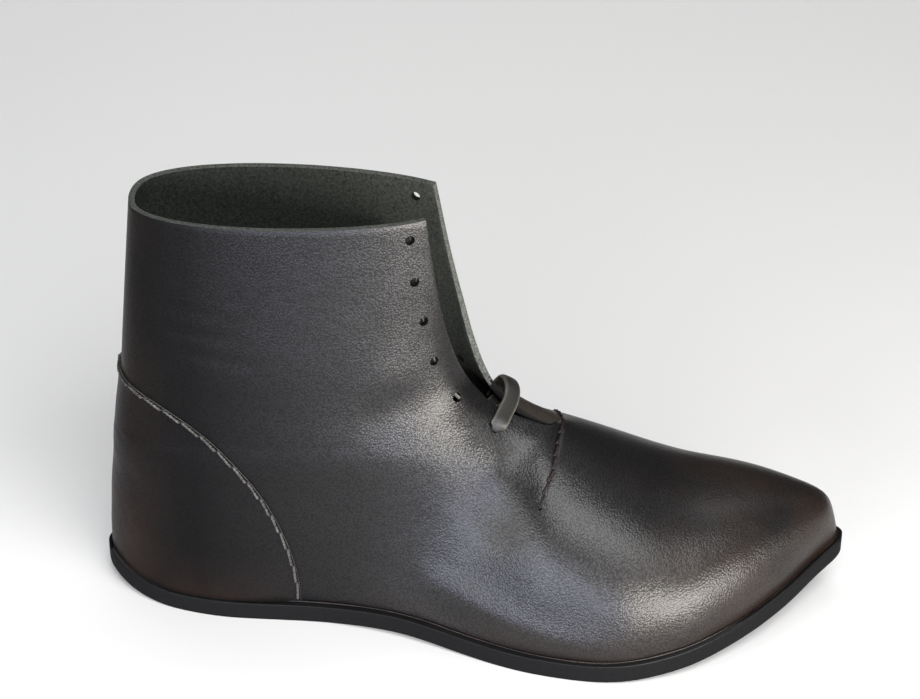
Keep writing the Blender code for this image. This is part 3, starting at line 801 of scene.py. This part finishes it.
# Heel counter: a second layer over the heel, thin along its sewn edge
counterCut = {
    "middle": (3.0, 7.5),
    "halfAxes": (77.0, 92.0),
    "cuts": 60,
    "margin": 1.2,
    "weld": 0.05,
    "gap": 0.2,
    "edge": 0.45,
    "body": 1.45,
    "skive": 24.0,
    "leastShare": 0.05,
    "sharpAngle": math.radians(50),
}


def counterShare(point, inset=0.0):  # 1 on the seam's ellipse, below 1 inside it
    station, aside, height = shoePlace(point)
    across = (station - counterCut["middle"][0]) / (counterCut["halfAxes"][0] - inset)
    up = (height - counterCut["middle"][1]) / (counterCut["halfAxes"][1] - inset)
    return math.hypot(across, up)


def makeCounter():
    bm = editable(upper.data)
    away = [face for face in bm.faces if face.material_index != grainSide
            or counterShare(face.calc_center_median()) > counterCut["margin"]]
    bmesh.ops.delete(bm, geom=away, context="FACES")
    outwards = bm.verts.layers.float_vector.new("outwards")
    back, foot = counterCut["middle"]
    length, rise = counterCut["halfAxes"]
    for number in range(counterCut["cuts"] + 1):
        angle = math.pi / 2 * number / counterCut["cuts"]
        spot = shoePoint(back + length * math.cos(angle), 0.0, foot + rise * math.sin(angle))
        across = Vector((math.cos(angle) / length, 0.0, math.sin(angle) / rise))
        bmesh.ops.bisect_plane(bm, geom=bm.verts[:] + bm.edges[:] + bm.faces[:], dist=planeStep,
                               plane_co=spot, plane_no=across, clear_outer=True)
    bmesh.ops.remove_doubles(bm, verts=bm.verts, dist=counterCut["weld"] * mm)
    bm.normal_update()
    for vert in bm.verts:
        vert[outwards] = vert.normal
        vert.co += vert.normal * counterCut["gap"] * mm
    inner = set(bm.faces)
    made = bmesh.ops.extrude_face_region(bm, geom=bm.faces[:], use_keep_orig=True)["geom"]
    for vert in (item for item in made if isinstance(item, bmesh.types.BMVert)):
        share = max(counterShare(vert.co), counterCut["leastShare"])
        station, aside, height = shoePlace(vert.co)
        reach = math.hypot(station - back, height - foot)
        skived = ease(0.0, counterCut["skive"], max(reach / share - reach, 0.0))
        grown = counterCut["edge"] + (counterCut["body"] - counterCut["edge"]) * skived
        vert.co += Vector(vert[outwards]) * grown * mm
    outer = {item for item in made if isinstance(item, bmesh.types.BMFace)}
    for face in bm.faces:
        if face not in inner and face not in outer:
            face.material_index = 1  # its cut edge
    bmesh.ops.recalc_face_normals(bm, faces=bm.faces)
    piece = makePiece("counter", bm, [hide, cutEdge], ["heel_counter"])
    piece.data.set_sharp_from_angle(angle=counterCut["sharpAngle"])
    return piece


counter = makeCounter()
print("counter", len(counter.data.polygons), "faces")
punch(upper, [(spot, axis, upperCut["eyeletDiameter"]) for spot, axis in eyelets]
      + [(*grainSkin.find_nearest(shoePoint(*crossSeam["line"][end]))[:2], upperCut["threadHole"])
         for end in (0, -1)])
print("upper punched,", len(upper.data.polygons), "faces")


# Sewing thread: two twisted plies, each stitch dipping into its hole at both ends
thread = {"ply": 0.38, "lay": 0.22, "twist": 3.0, "sides": 6, "dip": 0.7, "rise": 0.34, "slant": 0.8,
          "entry": 0.08, "steps": 14}


def sewStitch(bm, spots, normals, rise):
    rows = len(spots)
    ways = directions(spots)
    length = lineLength(spots)
    middle = []
    for number, (spot, normal) in enumerate(zip(spots, normals)):
        share = number / (rows - 1)
        up = ease(0.0, thread["entry"], share) * ease(0.0, thread["entry"], 1 - share)
        lean = thread["slant"] * (share - 0.5)
        side = ways[number].cross(normal)
        middle.append(spot + normal * (up * (rise + thread["dip"]) - thread["dip"]) * mm + side * lean * mm)
    for ply in (0, 1):
        line = []
        for number, spot in enumerate(middle):
            angle = math.tau * length / mm * number / (rows - 1) / thread["twist"] + ply * math.pi
            side = ways[number].cross(normals[number])
            around = side * math.cos(angle) + normals[number] * math.sin(angle)
            line.append(spot + around * thread["lay"] * mm)
        sleeve(bm, line, [way.cross(normal) for way, normal in zip(ways, normals)], thread["sides"],
               lambda turn, along: onCircle(thread["ply"] * mm, turn))


def sewSeam(name, surface, line, pitch, material, extra=()):  # extra: stitches beside the line
    count = max(round(lineLength(line) / mm / pitch), 1)
    steps = thread["steps"]
    spots = evenly(line, count * steps + 1)
    normals = [surface.find_nearest(spot)[1] for spot in spots]
    bm = bmesh.new()
    for number in range(count):
        first = number * steps
        sewStitch(bm, spots[first:first + steps + 1], normals[first:first + steps + 1], thread["rise"])
    for spotsThere, normalsThere, rise in extra:
        sewStitch(bm, spotsThere, normalsThere, rise)
    piece = makePiece(name, bm, [material])
    print(name, count, "stitches,", len(piece.data.polygons), "faces")
    return piece


# Counter seam, just inside the counter's edge, from the outer side round the back to the inner side;
# its places are found by rays towards an upright axis in the heel
counterSeam = {"inset": 0.9, "axis": 40.0, "start": 90.0, "turn": 152.0, "samples": 160, "pitch": 8.6,
               "search": (9.5, 101.0), "searchStep": 0.02, "lineFrom": 26.0,
               "footHeights": (9.3, 11.0, 13.0, 15.0, 17.0, 19.0, 21.0, 23.0),
               "knotHeight": 4.4, "knotRise": 1.1, "knotPoints": 10}


def counterSeamLine(surface):
    line = []
    for number in range(counterSeam["samples"] + 1):
        turn = math.radians(counterSeam["turn"]) * (2 * number / counterSeam["samples"] - 1)
        way = Vector((math.cos(turn), -math.sin(turn), 0.0))
        low, high = counterSeam["search"]
        best = None
        while high - low > counterSeam["searchStep"]:
            height = (low + high) / 2
            start = shoePoint(counterSeam["axis"], 0.0, height) - way * counterSeam["start"] * mm
            spot = surface.ray_cast(start, way, counterSeam["start"] * mm)[0]
            if spot is not None and counterShare(spot, counterSeam["inset"]) < 1:
                low = height
                best = spot
            else:
                high = height
        if best is not None and best.z > counterSeam["lineFrom"] * mm:
            line.append(best)
    feet = [[], []]
    for height in counterSeam["footHeights"]:  # down at the sole the seam stands nearly upright
        up = (height - counterCut["middle"][1]) / (counterCut["halfAxes"][1] - counterSeam["inset"])
        ahead = (counterCut["halfAxes"][0] - counterSeam["inset"]) * math.sqrt(1 - up * up)
        for foot, side in zip(feet, (-1, 1)):
            start = shoePoint(counterCut["middle"][0] + ahead, side * counterSeam["start"], height)
            foot.append(surface.ray_cast(start, Vector((0, -side, 0)), counterSeam["start"] * mm)[0])
    outerFoot, innerFoot = ([spot for spot in foot if spot is not None] for foot in feet)
    return outerFoot + line + innerFoot[::-1]


counterSkin = surfaceOf(counter)
seamLine = counterSeamLine(counterSkin)
backSpot = min(seamLine, key=lambda spot: spot.x)
knotEnds = [backSpot + Vector((0, 0, share * counterSeam["knotHeight"] * mm)) for share in (-0.5, 0.5)]
knotSpots = [grainSkin.find_nearest(spot)[0] for spot in evenly(knotEnds, counterSeam["knotPoints"])]
knotNormals = [grainSkin.find_nearest(spot)[1] for spot in knotSpots]
sewSeam("counter_thread", counterSkin, seamLine, counterSeam["pitch"], paleThread,
        [(knotSpots, knotNormals, counterSeam["knotRise"])])

crossLine = laidOn(grainSkin, crossSeam["line"], crossSeam["points"])
sewSeam("cross_seam_thread", grainSkin, crossLine, crossSeam["pitch"], darkThread)


# Lace: one flat thong over the throat, through the lowest eyelets and up inside the shaft
lace = {
    "eyelets": (0, 6),  # the lowest one on each side
    "through": (-4.2, -1.0, 0.7),  # steps along an eyelet's axis
    "wall": 2.4,
    "width": 5.4,
    "barWidth": 6.2,
    "thickness": 1.5,
    "squareness": (0.45, 0.6),  # 1 would be an oval section
    "curl": 0.35,
    "border": 0.22,
    "borderAt": (0.86, 0.13),
    "wear": (0.68, 0.9),
    "neck": (3.1, 2.3),
    "neckReach": (0.4, 1.9),
    "endNeck": 0.05,
    "alongSlit": (0.9, 0.0, -0.44),
    "sides": 32,
    "barPoints": 90,
    "endPoints": 100,
}
barRoute = ((155.4, -14.2, 86.2), (157.0, -9.6, 87.6), (158.8, -3.6, 89.2), (159.0, 2.4, 90.6),
            (157.6, 8.4, 89.9), (155.8, 12.8, 87.0))
outerRoute = ((152.6, -13.3, 81.8), (147.5, -14.9, 83.1), (141.4, -16.6, 84.6), (134.0, -18.4, 86.5),
              (127.0, -19.6, 89.3), (118.8, -20.3, 96.3), (109.8, -21.1, 106.8), (101.9, -21.6, 118.5),
              (94.0, -21.6, 132.4), (87.0, -21.2, 147.9), (82.1, -20.4, 165.2))
innerRoute = ((152.3, 13.1, 81.9), (154.0, 10.2, 82.9), (154.3, 6.8, 83.9), (153.4, 2.1, 85.1),
              (150.6, -4.2, 86.5), (146.7, -7.4, 88.6), (142.7, -9.3, 91.6), (139.2, -10.3, 95.7),
              (135.8, -11.0, 101.6), (131.8, -11.6, 113.6), (128.5, -12.2, 130.2), (126.5, -12.3, 146.3),
              (124.3, -12.1, 165.0))
# Which way the thong's outer side looks, at shares of its length
outerFaces = ((0.0, (0.38, -0.56, 0.74)), (1.0, (0.06, -1.0, 0.06)))
innerFaces = ((0.0, (0.37, 0.58, 0.72)), (0.25, (0.44, 0.22, 0.87)), (0.42, (0.63, -0.34, 0.7)),
              (0.6, (0.5, -0.8, 0.3)), (1.0, (0.4, -0.91, 0.06)))


def facing(marks, share):  # the outward side of the thong, between marks
    for (start, first), (end, second) in zip(marks, marks[1:]):
        if share <= end:
            return Vector(first).lerp(Vector(second), (share - start) / (end - start)).normalized()
    return Vector(marks[-1][1])


def makeThongPiece(name, line, across, breadth, neckAt, replaced):
    bm = bmesh.new()
    wear = bm.verts.layers.float.new("borderWear")

    def profile(turn, along):
        neck = neckAt(along)
        width = breadth + (lace["neck"][0] - breadth) * neck
        thickness = lace["thickness"] + (lace["neck"][1] - lace["thickness"]) * neck
        cosine, sine = math.cos(math.tau * turn), math.sin(math.tau * turn)
        x = math.copysign(abs(cosine) ** lace["squareness"][0], cosine)
        y = math.copysign(abs(sine) ** lace["squareness"][1], sine)
        place, spread = lace["borderAt"]
        lip = lace["border"] * math.exp(-((abs(x) - place) / spread) ** 2) if y > 0 else 0.0
        rise = (lace["curl"] * (x * x - 0.5) + lip) * (1 - neck)
        return x * width / 2 * mm, (y * thickness / 2 + rise) * mm

    verts = sleeve(bm, line, across, lace["sides"], profile)
    finder = finderOf(line)
    for vert in verts:
        spot, number, far = finder.find(vert.co)
        aside = abs((vert.co - spot).dot(across[number])) / (breadth / 2 * mm)
        vert[wear] = ease(*lace["wear"], aside)
    return makePiece(name, bm, [thong], replaced)


def makeLace():
    near, far = (eyelets[number] for number in lace["eyelets"])
    rising = [near[0] + near[1] * step * mm for step in lace["through"]]
    falling = [far[0] + far[1] * step * mm for step in lace["through"][::-1]]
    bar = softLine(rising + [shoePoint(*place) for place in barRoute] + falling, lace["barPoints"])

    def neckAt(along):
        spot = bar[round(along * (len(bar) - 1))]
        low, high = lace["neckReach"]
        return 1 - ease(low * mm, high * mm, min((spot - hole[0]).length for hole in (near, far)))

    makeThongPiece("lace_over_throat", bar, [Vector(lace["alongSlit"])] * len(bar), lace["barWidth"], neckAt,
                   ["lace_bar"])
    for name, node, places, marks, hole in (
        ("lace_end_outer", "lace_end_lateral", outerRoute, outerFaces, near),
        ("lace_end_inner", "lace_end_medial", innerRoute, innerFaces, far),
    ):
        line = softLine([shoePoint(*place) for place in places], lace["endPoints"])
        across = []
        for number, way in enumerate(directions(line)):
            across.append(facing(marks, number / (len(line) - 1)).cross(way).normalized())
        piece = makeThongPiece(name, line, across, lace["width"],
                               lambda along: 1 - ease(0.0, lace["endNeck"], along), [node])
        print(name, round(lineLength(line) / mm), "mm long")


makeLace()


# Sole, inner sole and tongue
soleLook = {"topFrom": 0.6, "rimAngle": math.radians(35), "levels": 2}
for nodeName, pieceName, materials, slot in (
    ("outsole", "rubber_sole", [rubber, rubberTop], "sole_rubber"),
    ("insole", "inner_sole", [insoleHide], "insole_leather"),
    ("tongue", "tongue_strip", [hide], "tongue_leather"),
):
    bm = mergedNode(nodeName)
    joinQuads(bm)
    creaseRims(bm, lambda mesh: sharpEdges(mesh, soleLook["rimAngle"]))
    piece = makePiece(pieceName, bm, materials, [nodeName])
    smoothOut(piece, soleLook["levels"])
    if nodeName == "outsole":
        for face in piece.data.polygons:
            face.material_index = 1 if face.normal.z > soleLook["topFrom"] else 0
    piece.data.set_sharp_from_angle(angle=soleLook["rimAngle"])
    print(pieceName, len(piece.data.polygons), "faces")


# Sole cement, a thin uneven bead where the upper meets the sole's ledge
bead = {"radius": 0.45, "uneven": 0.16, "out": 0.25, "down": 0.1, "points": 420, "sides": 8,
        "topLimit": 34.0, "under": -0.3, "waves": 60, "seed": 5, "weld": 0.02}


def makeBead():
    bm = editable(upper.data)
    foot = [face for face in bm.faces if face.material_index == cutSide and face.normal.z < bead["under"]
            and face.calc_center_median().z < bead["topLimit"] * mm]
    rim = {edge for face in foot for edge in face.edges
           if any(other.material_index == grainSide for other in edge.link_faces)}
    line = max(edgeGroups(inOrder(rim)), key=len)
    start = min(line, key=lambda vert: vert.co.x)
    ordered = [start]
    seen = {start}
    while True:
        ahead = [edge.other_vert(ordered[-1]) for edge in ordered[-1].link_edges if edge in rim]
        ahead = [vert for vert in ahead if vert not in seen]
        if not ahead:
            break
        ordered.append(ahead[0])
        seen.add(ahead[0])
    points = evenly([vert.co.copy() for vert in ordered] + [start.co.copy()], bead["points"])
    outs = []
    for spot in points:
        normal = grainSkin.find_nearest(spot)[1]
        outs.append(Vector((normal.x, normal.y, 0.0)).normalized())
    bm.free()
    draw = random.Random(bead["seed"])
    swell = [draw.uniform(-1.0, 1.0) for number in range(bead["waves"])]
    down = Vector((0, 0, bead["down"] * mm))
    middle = [spot + out * bead["out"] * mm - down for spot, out in zip(points, outs)]

    def profile(turn, along):
        place = along * bead["waves"]
        first = int(place) % bead["waves"]
        second = (first + 1) % bead["waves"]
        wave = swell[first] + (swell[second] - swell[first]) * (place - int(place))
        return onCircle((bead["radius"] + bead["uneven"] * wave) * mm, turn)

    tube = bmesh.new()
    sleeve(tube, middle, outs, bead["sides"], profile, looped=True)
    bmesh.ops.remove_doubles(tube, verts=tube.verts, dist=bead["weld"] * mm)
    piece = makePiece("sole_cement_bead", tube, [cement])
    print("cement bead", len(ordered), "rim points,", len(piece.data.polygons), "faces")


makeBead()


# Floor and light, sizes in metres
floorLook = {"paper": "#d2d2d2", "roughness": 0.9, "size": 4.0}


def makeStage():
    bm = bmesh.new()
    bmesh.ops.create_grid(bm, x_segments=1, y_segments=1, size=floorLook["size"])
    material = newMaterial("pale_paper", {"Base Color": toLinear(floorLook["paper"]),
                                          "Roughness": floorLook["roughness"]})[0]
    floor = addObject("floor", newMesh("floor", bm, [material]))


# Soft boxes: where each stands, how far from a point a little above the floor, what it is aimed at, its size,
# the spread of its beam, its brightness and tint
studioMiddle = Vector((0.0, 0.0, 0.05))
roomGlow = 0.1
studio = {
    "front": {"azimuth": 27.0, "elevation": 50.0, "far": 0.95, "aim": (0.07, -0.2, 0.0), "size": (0.7, 0.55),
              "spread": 110.0, "glow": 3.6, "tint": "#ffffff"},
    "window": {"azimuth": -38.0, "elevation": 17.5, "far": 1.0, "aim": (0.0, 0.0, 0.04), "size": (1.3, 0.26),
               "spread": 180.0, "glow": 9.0, "tint": "#fbfbf8"},
    "sill": {"azimuth": -14.0, "elevation": 2.5, "far": 0.8, "aim": (0.0, 0.0, 0.04), "size": (0.9, 0.08),
             "spread": 180.0, "glow": 31.0, "tint": "#dfe6ff"},
    "toe": {"azimuth": 41.0, "elevation": 3.0, "far": 0.75, "aim": (0.05, 0.0, 0.03), "size": (0.6, 0.17),
            "spread": 180.0, "glow": 37.0, "tint": "#fffaf2"},
    "behind": {"azimuth": 180.0, "elevation": 66.0, "far": 1.9, "aim": (0.0, 0.75, 0.0), "size": (2.2, 0.8),
               "spread": 80.0, "glow": 1.3, "tint": "#ffffff"},
}


def makeLights():
    for name, box in studio.items():
        lamp = bpy.data.lights.new(name, "AREA")
        lamp.shape = "RECTANGLE"
        lamp.size, lamp.size_y = box["size"]
        lamp.spread = math.radians(box["spread"])
        lamp.energy = math.pi * lamp.size * lamp.size_y * box["glow"]
        lamp.color = toLinear(box["tint"])[:3]
        item = addObject(name, lamp)
        item.location = wayTo(box["azimuth"], box["elevation"]) * box["far"] + studioMiddle
        aim(item, Vector(box["aim"]) - item.location)
        item.visible_camera = False
    world = bpy.data.worlds.new("studio")
    world.use_nodes = True
    sky = world.node_tree.nodes["Background"]
    sky.inputs["Color"].default_value = toLinear("#ffffff")
    sky.inputs["Strength"].default_value = roomGlow
    bpy.context.scene.world = world


makeStage()
makeLights()
bpy.context.scene.view_settings.view_transform = "Standard"
print("stage and lights set")
